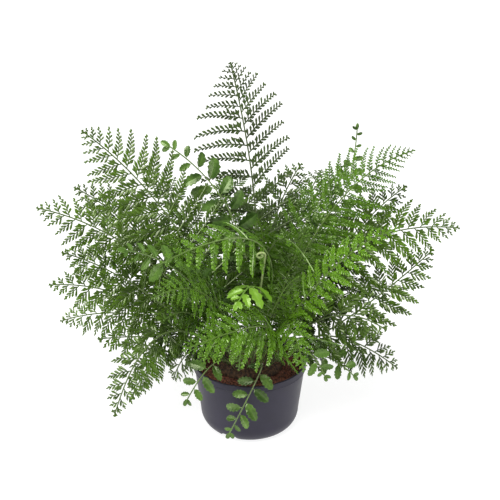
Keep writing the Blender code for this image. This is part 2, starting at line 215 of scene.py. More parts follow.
class TallFrondSettings(bpy.types.PropertyGroup):
    """The tall dark frond at the top, with long open combs of segments."""

    __annotations__ = frond_properties(
        CUT_SETTINGS,
        pairs=16, stipe=0.26, reach=0.22, crowding=1.85, taper=0.30, low_lean=62, high_lean=54, skew=10,
        sweep=-4, droop=0.30, lift=4, scatter=5, stem_width=3.6 * MM, dark=(0.009, 0.020, 0.003),
        light=(0.05, 0.10, 0.012), under=(0.04, 0.08, 0.015), stalk=(0.07, 0.09, 0.04), roughness=0.42,
        segment_length=16 * MM, segment_width=3.9 * MM, spacing=6.2 * MM, opening=40, back=0.65,
        toothed=0.3, narrowing=0.55,
    )


class FineFrondSettings(bpy.types.PropertyGroup):
    """Tall fronds that are cut into fine, separate segments, forked near the stem."""

    __annotations__ = frond_properties(
        CUT_SETTINGS,
        pairs=15, stipe=0.16, reach=0.24, crowding=1.6, taper=0.42, low_lean=84, high_lean=52, skew=0,
        sweep=12, droop=0.14, lift=6, scatter=5, stem_width=2.8 * MM, dark=(0.004, 0.013, 0.001),
        light=(0.082, 0.172, 0.006), under=(0.045, 0.10, 0.006), stalk=(0.10, 0.14, 0.05), roughness=0.30,
        segment_length=20 * MM, segment_width=4.8 * MM, spacing=5.9 * MM, opening=35, back=0.95,
        toothed=0.12, narrowing=0.75,
    )


class DenseFrondSettings(bpy.types.PropertyGroup):
    """Fronds whose segments are broader, toothed and stand closer."""

    __annotations__ = frond_properties(
        CUT_SETTINGS,
        pairs=22, stipe=0.14, reach=0.24, crowding=1.4, taper=0.55, low_lean=72, high_lean=50, skew=0,
        sweep=16, droop=0.18, lift=4, scatter=7, stem_width=2.4 * MM, dark=(0.008, 0.028, 0.001),
        light=(0.115, 0.265, 0.008), under=(0.07, 0.15, 0.008), stalk=(0.13, 0.19, 0.05), roughness=0.25,
        segment_length=11 * MM, segment_width=3.3 * MM, spacing=4.1 * MM, opening=40, back=0.95,
        toothed=0.5, narrowing=0.65,
    )


class LobedFrondSettings(bpy.types.PropertyGroup):
    """Fronds whose segments are so broad that they overlap into a lobed leaflet."""

    __annotations__ = frond_properties(
        CUT_SETTINGS,
        pairs=15, stipe=0.20, reach=0.155, crowding=1.25, taper=0.45, low_lean=80, high_lean=60, skew=0,
        sweep=10, droop=0.30, lift=-4, scatter=6, stem_width=2.4 * MM, dark=(0.008, 0.028, 0.002),
        light=(0.11, 0.25, 0.010), under=(0.06, 0.14, 0.010), stalk=(0.22, 0.28, 0.12), roughness=0.24,
        segment_length=9.5 * MM, segment_width=5.2 * MM, spacing=4.4 * MM, opening=54, back=1.0,
        toothed=0.8, narrowing=0.45,
    )


class BroadFrondSettings(bpy.types.PropertyGroup):
    """Low fronds with short oval leaflets that have a scalloped edge."""

    __annotations__ = frond_properties(
        WHOLE_SETTINGS,
        pairs=12, stipe=0.35, reach=0.16, crowding=1.2, taper=0.35, low_lean=75, high_lean=55, skew=0,
        sweep=1, droop=0.10, lift=2, scatter=14, stem_width=1.8 * MM, dark=(0.012, 0.038, 0.004),
        light=(0.15, 0.29, 0.045), under=(0.08, 0.17, 0.03), stalk=(0.14, 0.18, 0.07), roughness=0.27,
        leaflet_width=0.62, lobes=4, lobe_depth=0.24, lobe_slant=0.6, fold=0.12,
    )


class YoungFrondSettings(bpy.types.PropertyGroup):
    """A young frond with few, broad, lobed leaflets."""

    __annotations__ = frond_properties(
        WHOLE_SETTINGS,
        pairs=7, stipe=0.60, reach=0.50, crowding=1.1, taper=0.50, low_lean=75, high_lean=45, skew=0,
        sweep=4, droop=0.50, lift=2, scatter=12, stem_width=2.0 * MM, dark=(0.05, 0.14, 0.008),
        light=(0.16, 0.32, 0.022), under=(0.18, 0.34, 0.04), stalk=(0.16, 0.24, 0.07), roughness=0.30,
        leaflet_width=0.62, lobes=3, lobe_depth=0.34, lobe_slant=0.7, fold=0.14,
    )


class PotSettings(bpy.types.PropertyGroup):
    """Nursery pot of thin dark plastic."""

    wall: length("Wall", 1.6 * MM, "Thickness of the pot's wall")
    rim_height: length("Rim height", 10 * MM, "Height of the band round the rim")
    rim_step: length("Rim step", 2 * MM, "How far the rim stands out from the wall")
    bead: length("Bead", 0.5 * MM, "How far the bead under the rim stands out from the rim")
    taper: scalar("Taper", 0.125, "How far the wall leans, as run over rise")
    corner_width: length("Corner width", 24 * MM, "How far the rounded foot runs inwards")
    corner_height: length("Corner height", 28 * MM, "Where the rounded foot starts")
    plastic: colour("Plastic", (0.024, 0.022, 0.036), "Colour of the plastic")
    roughness: share("Roughness", 0.42, "Roughness of the plastic")


class BarkSettings(bpy.types.PropertyGroup):
    """Potting bark in the pot."""

    chips: count("Chips", 900, "Loose bits of bark on the surface")
    chip_length: length("Chip length", 7 * MM, "Longest bit of bark")
    unevenness: length("Unevenness", 1.6 * MM, "Height of the surface's lumps")
    dark: colour("Dark bark", (0.020, 0.008, 0.005), "Damp bark")
    light: colour("Light bark", (0.26, 0.085, 0.045), "Dry bark")


class CrownSettings(bpy.types.PropertyGroup):
    """The scaly mound that the fronds grow from."""

    lumps: length("Lumps", 3 * MM, "Height of the mound's lumps")
    dark: colour("Dark scales", (0.022, 0.011, 0.006), "Old scales")
    light: colour("Light scales", (0.13, 0.065, 0.028), "Young scales")


class ShootSettings(bpy.types.PropertyGroup):
    """A young frond that is still curled up."""

    width: length("Width", 3 * MM, "Thickness of the shoot's stem")
    curl_radius: length("Curl radius", 6.5 * MM, "Outer radius of the curl")
    core_radius: length("Core radius", 2.2 * MM, "Inner radius of the curl")
    turns: scalar("Turns", 1.25, "Turns of the curl")
    down: colour("Down", (0.30, 0.40, 0.14), "Pale green of the shoot")
    scales: colour("Scales", (0.16, 0.10, 0.05), "Brown of the scales on the shoot")


class StageSettings(bpy.types.PropertyGroup):
    """Floor, lights and camera."""

    floor: colour("Floor", (0.28, 0.28, 0.28), "Colour of the floor where it doesn't glow")
    glow: share("Floor glow", 0.86, "Light that the floor gives off by itself, like a light table")
    sky: scalar("Sky", 0.32, "Strength of the even light from all round")
    key: scalar("Key light", 4.1, "Strength of the broad light from above, in watts per square metre")
    key_spread: angle("Key spread", 40, "How wide the key light is, seen from the plant")
    side: scalar("Side light", 7.6, "Power of the tall light at each side", unit="POWER", subtype="POWER")
    distance: length("Camera distance", 1.6, "Distance from the middle of the rim to the camera")
    elevation: angle("Camera elevation", 28.4, "Height of the camera above the rim, as an angle")
    tilt: angle("Camera tilt", 22.5, "How far the camera looks down")
    lens: scalar("Lens", 76.0, "Focal length", unit="CAMERA", subtype="DISTANCE_CAMERA")


SETTINGS = {
    "tall": TallFrondSettings,
    "fine": FineFrondSettings,
    "dense": DenseFrondSettings,
    "lobed": LobedFrondSettings,
    "broad": BroadFrondSettings,
    "young": YoungFrondSettings,
    "pot": PotSettings,
    "bark": BarkSettings,
    "crown": CrownSettings,
    "shoot": ShootSettings,
    "stage": StageSettings,
}


class FernSettings(bpy.types.PropertyGroup):
    """All settings of the fern."""

    __annotations__ = {key: bpy.props.PointerProperty(type=group) for key, group in SETTINGS.items()}


# ---------------------------------------------------------------- meshes

def unit(vectors):
    """Vectors along the last axis, each made one long."""
    return vectors / np.linalg.norm(vectors, axis=-1, keepdims=True)


def on_circle(turn, radius, height):
    """Points at angles round Z. Radius and height are one number each, or one for every point."""
    return np.stack(np.broadcast_arrays(radius * np.cos(turn), radius * np.sin(turn), height), axis=-1)


def even_turns(steps):
    """Angles of evenly spaced points round a circle."""
    return np.arange(steps) * 2 * np.pi / steps


def rings_round(paths, across, up, radii, sides):
    """Rings of points round path points: path + radius * (cos(t) * across + sin(t) * up)."""
    turn = even_turns(sides)[:, None]
    around = across[..., None, :] * np.cos(turn) + up * np.sin(turn)
    return paths[..., None, :] + around * radii[..., None, None]


def put_object(name, data):
    item = bpy.data.objects.new(name, data)
    bpy.context.scene.collection.objects.link(item)
    return item


def put_mesh(name, points, quads, triangles, smooth):
    """A mesh object from an array of points and arrays of four- and three-cornered faces."""
    mesh = bpy.data.meshes.new(name)
    corners = np.concatenate([quads.ravel(), triangles.ravel()]).astype(np.int32)
    quad_starts = np.arange(len(quads)) * 4
    triangle_starts = len(quads) * 4 + np.arange(len(triangles)) * 3
    mesh.vertices.add(len(points))
    mesh.vertices.foreach_set("co", points.astype(np.float32).ravel())
    mesh.loops.add(len(corners))
    mesh.loops.foreach_set("vertex_index", corners)
    mesh.polygons.add(len(quads) + len(triangles))
    mesh.polygons.foreach_set("loop_start", np.concatenate([quad_starts, triangle_starts]).astype(np.int32))
    mesh.update(calc_edges=True)
    if smooth:
        mesh.shade_smooth()
    else:
        mesh.shade_flat()
    return put_object(name, mesh)


def set_attribute(mesh, name, domain, values):
    """A value for each of the mesh's points or faces, for its material to read."""
    attribute = mesh.attributes.new(name, "FLOAT", domain)
    attribute.data.foreach_set("value", values.astype(np.float32))


def joined(surfaces):
    """Several surfaces as one, with their faces renumbered."""
    firsts = np.cumsum([0] + [len(s.points) for s in surfaces])
    return Surface(
        np.concatenate([s.points for s in surfaces]),
        np.concatenate([s.quads + first for s, first in zip(surfaces, firsts)]),
        np.concatenate([s.triangles + first for s, first in zip(surfaces, firsts)]),
        np.concatenate([s.tone for s in surfaces]),
        np.concatenate([s.stem for s in surfaces]),
    )


def repeated(faces, copies, size):
    """Face numbers of a template with size points, for a number of copies one after another."""
    return (faces[None] + np.arange(copies)[:, None, None] * size).reshape(-1, faces.shape[1])


def ring_faces(rings, sides):
    """Quads between rings of points, and triangles from the end rings to two poles that follow the rings."""
    side = np.arange(sides)
    after = (side + 1) % sides
    ring = np.arange(rings - 1)[:, None] * sides
    onward = ring + sides
    quads = np.stack([ring + side, onward + side, onward + after, ring + after], axis=-1).reshape(-1, 4)
    size = rings * sides
    last = size - sides
    low = np.stack([np.full(sides, size), side, after], axis=1)
    high = np.stack([last + after, last + side, np.full(sides, size + 1)], axis=1)
    return quads, np.concatenate([low, high])


def templates(points, quads, triangles, tone, stem):
    """Copies of a template as one surface, from their points (copy, point, 3) and the template's faces."""
    copies, size, _ = points.shape
    return Surface(
        points.reshape(-1, 3),
        repeated(quads, copies, size),
        repeated(triangles, copies, size),
        np.broadcast_to(tone, (copies, size)).ravel(),
        np.full(copies * size, stem),
    )


def finish_piece(item, slot, material, *nodes):
    """Gives a piece its material and lets it stand for its CAD nodes. The slot is not used."""
    item.data.materials.append(material)
    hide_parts(*nodes)
    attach(item, BODY)


# ---------------------------------------------------------------- flat fronds

def tubes(paths, radii, sides, tone, stem):
    """Closed tubes on the sheet, one for each row of paths (tube, ring, 3), with a ring round each point.

    Across is the path's direction turned a quarter on the sheet. Both ends close on a pole.
    """
    copies, rings, _ = paths.shape
    ahead = unit(np.gradient(paths, axis=1))
    across = np.stack([-ahead[..., 1], ahead[..., 0], np.zeros((copies, rings))], axis=2)
    around = rings_round(paths, across, UP, radii, sides).reshape(copies, -1, 3)
    points = np.concatenate([around, paths[:, :1], paths[:, -1:]], axis=1)
    quads, triangles = ring_faces(rings, sides)
    return templates(points, quads[:, [0, 3, 2, 1]], triangles[:, ::-1], tone, stem)


# A leaf segment: where its two rings lie along it, and their share of its width
SEGMENT_PLACE = np.array([0.14, 0.68])
SEGMENT_WIDTH = np.array([0.55, 1.0])
SEGMENT_SAG = 0.10
SEGMENT_FOLD = 0.12
SEGMENT_THICKNESS = 0.35 * MM
SEGMENT_TIP_TONE = 0.22
Blades = namedtuple("Blades", "roots direction rise twist lengths widths tones")


def turned(direction, rise, twist):
    """Ahead, side and up vectors (n, 3) of pieces on the sheet, from direction, rise and twist angles."""
    ahead = on_circle(direction, np.cos(rise), np.sin(rise))
    level = np.stack([-np.sin(direction), np.cos(direction), np.zeros(len(direction))], axis=1)
    over = np.cross(ahead, level)
    side = level * np.cos(twist)[:, None] + over * np.sin(twist)[:, None]
    return ahead, side, np.cross(ahead, side)


def placed(roots, axes, ahead_by, side_by, up_by):
    """Points (piece, point, 3) at distances (piece, point) ahead, to the side and up from each root."""
    ahead, side, up = (axis[:, None] for axis in axes)
    return roots[:, None] + ahead * ahead_by[..., None] + side * side_by[..., None] + up * up_by[..., None]


def segments(blades):
    """Narrow closed leaf segments, one for each root: a point, two three-sided rings and a point.

    A ring's points are left, top and right. Left and right lie at half the width and hang by the fold, and
    the top is a ridge. The line from root to tip sags with the square of the place along it. The tone rises
    towards the tip.
    """
    lengths, widths = blades.lengths[:, None], blades.widths[:, None]
    place = np.concatenate([[0], np.repeat(SEGMENT_PLACE, 3), [1]])
    wide = np.concatenate([[0], np.outer(SEGMENT_WIDTH, [1, 0, -1]).ravel(), [0]])
    ridge = np.array([0, 0, 1, 0, 0, 1, 0, 0])
    hang = SEGMENT_SAG * place ** 2 * lengths + SEGMENT_FOLD * np.abs(wide) * widths
    points = placed(
        blades.roots,
        turned(blades.direction, blades.rise, blades.twist),
        place * lengths,
        wide * widths / 2,
        ridge * SEGMENT_THICKNESS - hang,
    )
    quads = np.array([[1, 2, 5, 4], [2, 3, 6, 5], [3, 1, 4, 6]])
    triangles = np.array([[0, 2, 1], [0, 3, 2], [0, 1, 3], [4, 5, 7], [5, 6, 7], [6, 4, 7]])
    tone = blades.tones[:, None] + SEGMENT_TIP_TONE * (place - 0.4)
    return templates(points, quads, triangles, tone, 0.0)


LEAFLET_ROWS_A_LOBE = 4
LEAFLET_HALF_THICKNESS = 0.25 * MM
LEAFLET_SAG = 0.16
LEAFLET_RIPPLE = 0.05
LEAFLET_EDGE_TONE = 0.22
LEAFLET_RIB_TONE = 0.32
LEAFLET_TIP_TONE = 0.08


def grid_faces(numbers):
    """Quads over a grid of point numbers."""
    corners = [numbers[:-1, :-1], numbers[1:, :-1], numbers[1:, 1:], numbers[:-1, 1:]]
    return np.stack(corners, axis=-1).reshape(-1, 4)


def leaflets(roots, direction, rise, twist, lengths, tones, kind):
    """Closed thin leaflets, one for each root: a grid along (0 to 1) by across (-1 to 1), made twice.

    Half width is width / 2 * sqrt(1 - (1.88 * along - 0.86)^2), times what the lobes leave of it, which is
    1 - depth * (1 + cos(2 pi lobes along)) / 2 at the edge. The edge is pushed forward by the slant, both
    halves rise from the midrib by the fold, and the line sags with the square of the place along. The upper
    and lower sheets share their edge. Edge, midrib and tip are lighter than the rest.
    """
    rows, columns = kind.lobes * LEAFLET_ROWS_A_LOBE + 1, 5
    along, across = np.meshgrid(np.linspace(0, 1, rows), np.linspace(-1, 1, columns), indexing="ij")
    belly = np.sqrt(np.clip(1 - (1.88 * along - 0.86) ** 2, 0.012, None))
    cut = 1 - kind.lobe_depth * (1 + np.cos(2 * np.pi * kind.lobes * along)) / 2 * np.abs(across) ** 0.5
    half = kind.leaflet_width / 2 * belly * cut
    forward = along + kind.lobe_slant * half * np.abs(across) * (1 - along)
    ripple = LEAFLET_RIPPLE * np.sin(2 * np.pi * kind.lobes * along) * across ** 2 * half
    height = kind.fold * half * np.abs(across) * 2 - LEAFLET_SAG * along ** 2 + ripple
    inner = np.zeros((rows, columns), bool)
    inner[1:-1, 1:-1] = True
    upper = np.arange(rows * columns).reshape(rows, columns)
    lower = upper.copy()
    lower[inner] = rows * columns + np.arange(inner.sum())

    def both_sheets(values):
        return np.concatenate([values.ravel(), values[inner]])

    x, y, z = both_sheets(forward), both_sheets(half * across), both_sheets(height)
    thick = np.concatenate([inner.ravel() * 1.0, np.full(inner.sum(), -1.0)])
    points = placed(
        roots,
        turned(direction, rise, twist),
        x * lengths[:, None],
        y * lengths[:, None],
        z * lengths[:, None] + thick * LEAFLET_HALF_THICKNESS,
    )
    top = grid_faces(upper)
    bottom = grid_faces(lower)[:, [0, 3, 2, 1]]
    edge = both_sheets(np.abs(across))
    across_tone = LEAFLET_EDGE_TONE * edge ** 3 + LEAFLET_RIB_TONE * (1 - edge) ** 2
    tone = tones[:, None] + across_tone + LEAFLET_TIP_TONE * (x - 0.5)
    return templates(points, np.concatenate([top, bottom]), NO_TRIANGLES, tone, 0.0)


# Pairs of pinnae grow with this power of the blade's length over the standard one
STANDARD_BLADE = 0.30
STANDARD_POWER = 0.85
FEWEST_PAIRS = 4
# The lowest pinna's length as a share, and the share of the blade over which pinnae reach full length
FOOT_SHARE = 0.75
FOOT_GROWTH = 0.15
# How unevenly pinnae are laid out. Those of angles are shares of the scatter.
PINNA_LENGTH_SPREAD = 0.06
PINNA_LEAN_SPREAD = 0.4
PINNA_SWEEP_SPREAD = 0.3
PINNA_TILT_SPREAD = 0.6
PINNA_TWIST_SPREAD = 0.8
PINNA_TONE_SPREAD = 0.06
# Painted shade: how much darker the pinnae near the blade's foot are, as that part lies deep in the bush.
FOOT_SHADE = 0.25
Pinnae = namedtuple("Pinnae", "start way lengths lean sweep tilt twist tone")


def pinna_share(along, taper):
    """Length of a pinna at a place from 0 at the blade's foot to 1 at its tip, as a share of the longest."""
    left = np.minimum(1, (1 - along) / taper)
    grown = np.minimum(1, FOOT_SHARE + (1 - FOOT_SHARE) * along / FOOT_GROWTH)
    return left * (1.35 - 0.35 * left) * grown


def lay_out_pinnae(kind, row, foot, end, rng):
    """Where each pinna starts and how it runs, as arrays. They alternate and stand closer towards the tip."""
    blade = end - foot
    pairs = max(FEWEST_PAIRS, round(kind.pairs * (blade / STANDARD_BLADE) ** STANDARD_POWER))
    number = 2 * pairs
    left = ((np.arange(number, 0, -1) - 0.4) / number) ** kind.crowding
    along = 1 - left
    way = np.where(np.arange(number) % 2, 1.0, -1.0)
    lean = kind.low_lean + (kind.high_lean - kind.low_lean) * along + kind.skew * way
    longest = blade * kind.reach * row.width
    return Pinnae(
        start=foot + along * blade,
        way=way,
        lengths=longest * pinna_share(along, kind.taper) * rng.normal(1, PINNA_LENGTH_SPREAD, number),
        lean=lean + rng.normal(0, kind.scatter * PINNA_LEAN_SPREAD, number),
        sweep=kind.sweep * rng.normal(1, PINNA_SWEEP_SPREAD, number).clip(0.2, 2),
        tilt=kind.lift + rng.normal(0, kind.scatter * PINNA_TILT_SPREAD, number),
        twist=rng.normal(0, kind.scatter * PINNA_TWIST_SPREAD, number),
        # Painted shade: the pinnae grow darker towards the blade's foot.
        tone=row.tone - FOOT_SHADE * (1 - along) ** 2 + rng.normal(0, PINNA_TONE_SPREAD, number),
    )


def on_pinna(p, which, q):
    """Points and directions on the sheet at share q of the pinnae which. Their direction turns by the sweep.

    Along the stem it is start + length * (sin(lean) - sin(lean - sweep q)) / sweep, and across it is
    length * (cos(lean - sweep q) - cos(lean)) / sweep, on the pinna's own side.
    """
    lean, sweep = p.lean[which], p.sweep[which]
    bend = lean - sweep * q
    along = p.start[which] + p.lengths[which] * (np.sin(lean) - np.sin(bend)) / sweep
    across = p.lengths[which] * (np.cos(bend) - np.cos(lean)) / sweep
    height = across * np.tan(p.tilt[which])
    points = np.stack([along, across * p.way[which], height], axis=-1)
    return points, bend * p.way[which]


AXIS_RINGS = 7
AXIS_SIDES = 4
AXIS_WIDTH = 2.3 * MM
AXIS_PALENESS = 0.05
PINNA_STALK = 0.02


def pinna_axes(p, tone):
    """The thin stem of each pinna."""
    number = len(p.start)
    which = np.repeat(np.arange(number), AXIS_RINGS)
    q = np.tile(np.linspace(0, 0.97, AXIS_RINGS), number)
    paths = on_pinna(p, which, q)[0].reshape(number, AXIS_RINGS, 3)
    size = np.clip(p.lengths / p.lengths.max(), 0.7, 1)[:, None]
    radii = AXIS_WIDTH / 2 * size * np.linspace(1, 0.6, AXIS_RINGS)
    return tubes(paths, radii, AXIS_SIDES, tone, AXIS_PALENESS)


# How unevenly segments are made. Those of angles are shares of the scatter.
LENGTH_SPREAD = 0.10
WIDTH_SPREAD = 0.08
TONE_SPREAD = 0.11
OPENING_SPREAD = 0.5
TWIST_SPREAD = 1.4


def segment_places(kind, p):
    """For every segment: its pinna, its place along it from 0 to 1, and whether it is on the front side."""
    number = np.maximum(2, np.round(p.lengths * (1 - PINNA_STALK) / kind.spacing)).astype(int)
    step = np.arange(number.max())
    used = step[None] < number[:, None]
    pinna = np.broadcast_to(np.arange(len(number))[:, None], used.shape)[used]
    place = PINNA_STALK + (1 - PINNA_STALK) * ((step[None] + 0.4) / number[:, None])[used]
    behind = place + 0.4 * kind.spacing / p.lengths[pinna]
    front = np.repeat([True, False], len(pinna))
    return np.concatenate([pinna, pinna]), np.concatenate([place, behind]).clip(0, 0.98), front


def lay_out_segments(kind, p, which, place, front, rng):
    """Segments along both sides of each pinna, smaller and lighter towards its tip."""
    roots, heading = on_pinna(p, which, place)
    hand = np.where(front, 1.0, -1.0)
    opening = kind.opening * (1.15 - 0.4 * place) * np.where(front, 1.0, 0.5 + kind.back / 2)
    uneven = rng.normal(0, kind.scatter * OPENING_SPREAD, len(place))
    scale = (p.lengths[which] / p.lengths.max()) ** 0.5
    taper = 1 - kind.narrowing * place ** 1.4
    side_share = np.where(front, 1.0, kind.back)
    return Blades(
        roots=roots,
        direction=heading - hand * p.way[which] * (opening + uneven),
        lengths=kind.segment_length * scale * taper * side_share * rng.normal(1, LENGTH_SPREAD, len(place)),
        widths=kind.segment_width * (scale * taper) ** 0.5 * rng.normal(1, WIDTH_SPREAD, len(place)),
        rise=p.tilt[which] * 0.6 + hand * p.twist[which] + rng.normal(0, kind.scatter, len(place)),
        twist=rng.normal(0, kind.scatter * TWIST_SPREAD, len(place)),
        tones=p.tone[which] + 0.18 * place - 0.03 + rng.normal(0, TONE_SPREAD, len(place)),
    )


TOOTH_START = 0.30
TOOTH_LENGTH = 0.58
TOOTH_WIDTH = 0.7
TOOTH_SHORTENING = 0.35
TOOTH_ODDS = 0.85
TOOTH_ANGLE = math.radians(28)


def teeth(kind, blades, place, turn_by, rng):
    """Teeth on one side of most segments near a pinna's foot, turned off them by an angle."""
    some = (place < kind.toothed) & (rng.random(len(place)) < TOOTH_ODDS)
    under = Blades(*(values[some] for values in blades))
    ahead = turned(under.direction, under.rise, under.twist)[0]
    return under._replace(
        roots=under.roots + ahead * (TOOTH_START * under.lengths)[:, None],
        direction=under.direction + turn_by,
        lengths=under.lengths * TOOTH_LENGTH * (1 - TOOTH_SHORTENING * place[some] / kind.toothed),
        widths=under.widths * TOOTH_WIDTH,
    )


END_PLACE = 0.94
END_SHARE = 0.5
END_TONE = 0.1


def end_segments(kind, p):
    """The last segment of each pinna, in line with it."""
    number = len(p.start)
    roots, heading = on_pinna(p, np.arange(number), np.full(number, END_PLACE))
    return Blades(
        roots=roots,
        direction=heading,
        rise=p.tilt,
        twist=np.zeros(number),
        lengths=kind.segment_length * END_SHARE * (p.lengths / p.lengths.max()) ** 0.5,
        widths=np.full(number, kind.segment_width * END_SHARE),
        tones=p.tone + END_TONE,
    )


def cut_pinnae(kind, p, rng):
    """Pinnae cut into segments. Those near a pinna's foot have side teeth."""
    which, place, front = segment_places(kind, p)
    blades = lay_out_segments(kind, p, which, place, front, rng)
    sides = [teeth(kind, blades, place, turn_by, rng) for turn_by in (TOOTH_ANGLE, -TOOTH_ANGLE)]
    return [
        pinna_axes(p, p.tone.mean()),
        *(segments(some) for some in (blades, *sides, end_segments(kind, p))),
    ]


LEAFLET_STALK = 0.10
SMALLEST_LEAFLET = 0.42
# A leaflet's stalk: places along the pinna, and its radius there
STALK_PLACES = (0, 0.06, 0.12, 0.3)
STALK_RADII = np.array([0.5, 0.42, 0.36, 0.2]) * MM


def whole_pinnae(kind, p, rng):
    """All leaflets of a frond, each on a short stalk, and one at the tip of the stem."""
    number = len(p.start)
    every = np.arange(number)
    roots, heading = on_pinna(p, every, np.full(number, LEAFLET_STALK))
    rise = p.tilt + rng.normal(0, kind.scatter * 0.7, number)
    twist = p.way * p.twist + rng.normal(0, kind.scatter * 0.8, number)
    lengths = np.maximum(p.lengths, SMALLEST_LEAFLET * p.lengths.max()) * (1 - LEAFLET_STALK)
    tones = p.tone + rng.normal(0, 0.05, number)
    blades = leaflets(roots, heading, rise, twist, lengths, tones, kind)
    stalks = np.stack([on_pinna(p, every, np.full(number, q))[0] for q in STALK_PLACES], axis=1)
    radii = np.tile(STALK_RADII, (number, 1))
    top = np.array([[p.start.max(), 0.0, 0.0]])
    level = np.zeros(1)
    smallest = np.array([SMALLEST_LEAFLET * p.lengths.max()])
    tip = leaflets(top, level, level, level, smallest, tones[-1:], kind)
    return [tubes(stalks, radii, AXIS_SIDES, 0.5, 0.6), blades, tip]


STEM_RINGS = 44
STEM_SIDES = 8
STEM_TIP_WIDTH = 1.9 * MM
STEM_TIP_PALENESS = 0.15


def flat_stem(kind, end):
    """The frond's stem, from its foot on the crown to its tip, thinner and greener towards the tip."""
    share_along = np.linspace(0, 1, STEM_RINGS)
    path = np.zeros((1, STEM_RINGS, 3))
    path[0, :, 0] = end * share_along
    width = kind.stem_width + (STEM_TIP_WIDTH - kind.stem_width) * share_along ** 0.8
    stem = tubes(path, width[None] / 2, STEM_SIDES, 0.3, 1.0)
    paleness = 1 - (1 - STEM_TIP_PALENESS) * (stem.points[:, 0] / end).clip(0, 1) ** 1.5
    return stem._replace(stem=paleness)


# ---------------------------------------------------------------- bent fronds

TIP_LEEWAY = 8 * MM
PATH_POINTS = 90
PATH_BEYOND = 1.08
Stem = namedtuple("Stem", "length point ahead side")


def frond_base(middle):
    """Where a frond leaves the crown: on its own side, and nearer the middle the steeper it stands."""
    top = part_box("crown")[1].z
    reach = math.hypot(middle[0], middle[1])
    spread = reach / math.hypot(reach, middle[2] - top)
    return np.array([*(middle[:2] / reach * BASE_RADIUS * spread), top - 2 * MM])


def stem_line(kind, row):
    """The stem's curve: a parabola by base, middle and tip, with its direction and side at each point."""
    middle, tip = np.array(row.middle) * MM, np.array(row.tip) * MM
    base = frond_base(middle)
    t = np.linspace(0, PATH_BEYOND, PATH_POINTS)[:, None]
    point = base * (1 - t) * (1 - 2 * t) + middle * 4 * t * (1 - t) + tip * t * (2 * t - 1)
    ahead = unit(base * (4 * t - 3) + middle * (4 - 8 * t) + tip * (4 * t - 1))
    side = unit(np.cross(UP, tip - base))
    side = unit(side - ahead * (ahead @ side)[:, None])
    roll = math.radians(row.roll)
    side = side * math.cos(roll) + np.cross(ahead, side) * math.sin(roll)
    steps = np.linalg.norm(np.diff(point, axis=0), axis=1)
    length_to = np.concatenate([[0], np.cumsum(steps)])
    foot = np.interp(kind.stipe, t[:, 0], length_to)
    end = np.interp(1.0, t[:, 0], length_to)
    return Stem(length_to, point, ahead, side), foot, end


def bend(points, stem, droop, reach):
    """Points on the sheet carried onto the stem: stem point + side * across + up * height, less the droop."""
    def at(values):
        return np.stack([np.interp(points[:, 0], stem.length, values[:, k]) for k in range(3)], axis=1)

    side = at(stem.side)
    ahead = at(stem.ahead)
    up = np.cross(ahead, side)
    hang = droop * points[:, 1] ** 2 / reach
    return at(stem.point) + side * points[:, 1:2] + up * points[:, 2:3] - UP * hang[:, None]


def faces_up(points, quads, triangles):
    """True for each face that looks up from the sheet."""
    looks = []
    for faces in (quads, triangles):
        a, b, c = points[faces[:, 0]], points[faces[:, 1]], points[faces[:, 2]]
        looks.append(np.cross(b - a, c - a)[:, 2] > 0)
    return np.concatenate(looks)


def lay_flat_map(mesh, flat, quads, triangles, upper):
    """Lays the sheet out on the map: along the stem to the right, across it upwards, undersides above."""
    corners = np.concatenate([quads.ravel(), triangles.ravel()])
    sizes = np.concatenate([np.full(len(quads), 4), np.full(len(triangles), 3)])
    low, high = flat.min(axis=0), flat.max(axis=0)
    right = (flat[:, 0] - low[0]) / (high[0] - low[0])
    rise = (flat[:, 1] - low[1]) / (high[1] - low[1])
    under = np.repeat(~upper, sizes)
    places = np.stack([right[corners], (rise[corners] * 0.98 + 0.01 + under) / 2], axis=1)
    layer = mesh.uv_layers.new(name=FLAT_MAP)
    layer.uv.foreach_set("vector", places.astype(np.float32).ravel())


def check_place(row):
    """Stops if the frond's tip isn't in the box of its CAD node, give or take a few millimetres."""
    low, high = (np.array(corner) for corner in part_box(row.name))
    tip = np.array(row.tip) * MM
    if np.any(tip < low - TIP_LEEWAY) or np.any(tip > high + TIP_LEEWAY):
        raise ValueError(f"{row.name}: its tip isn't where the CAD part has it")


def grow_frond(kind, row, make_pinnae, material, seed):
    """One frond: its pinnae and stem laid out flat, bent into place, with its tones and its map."""
    check_place(row)
    rng = np.random.default_rng(seed)
    stem, foot, end = stem_line(kind, row)
    p = lay_out_pinnae(kind, row, foot, end, rng)
    flat = joined([flat_stem(kind, end), *make_pinnae(kind, p, rng)])
    points = bend(flat.points, stem, kind.droop, p.lengths.max())
    item = put_mesh("frond_" + row.name, points, flat.quads, flat.triangles, False)
    upper = faces_up(flat.points, flat.quads, flat.triangles)
    set_attribute(item.data, "tone", "POINT", flat.tone.clip(0, 1))
    set_attribute(item.data, "stem", "POINT", flat.stem)
    set_attribute(item.data, "under", "FACE", ~upper)
    lay_flat_map(item.data, flat.points, flat.quads, flat.triangles, upper)
    finish_piece(item, "frond_" + row.kind, material, row.name)


FIRST_SEED = 11


def grow_fronds(name, kind, make_pinnae):
    """All fronds of one kind. Each has a seed of its own, by its place in the list."""
    material = leaf_material(name, kind)
    for seed, row in enumerate(FRONDS, start=FIRST_SEED):
        if row.kind == name:
            grow_frond(kind, row, make_pinnae, material, seed)


# ---------------------------------------------------------------- materials

def new_material(name, roughness, sheen=0.5, tint=(1, 1, 1)):
    """A material with its node tree and its shader, ready for more nodes."""
    material = bpy.data.materials.new(name)
    material.use_nodes = True
    nodes = material.node_tree
    shader = nodes.nodes["Principled BSDF"]
    shader.inputs["Roughness"].default_value = roughness
    shader.inputs["Specular IOR Level"].default_value = sheen
    shader.inputs["Specular Tint"].default_value = (*tint, 1)
    return material, nodes, shader


def paint(nodes, shader, value):
    """Gives the shader a node's output as its colour."""
    nodes.links.new(value, shader.inputs["Base Color"])


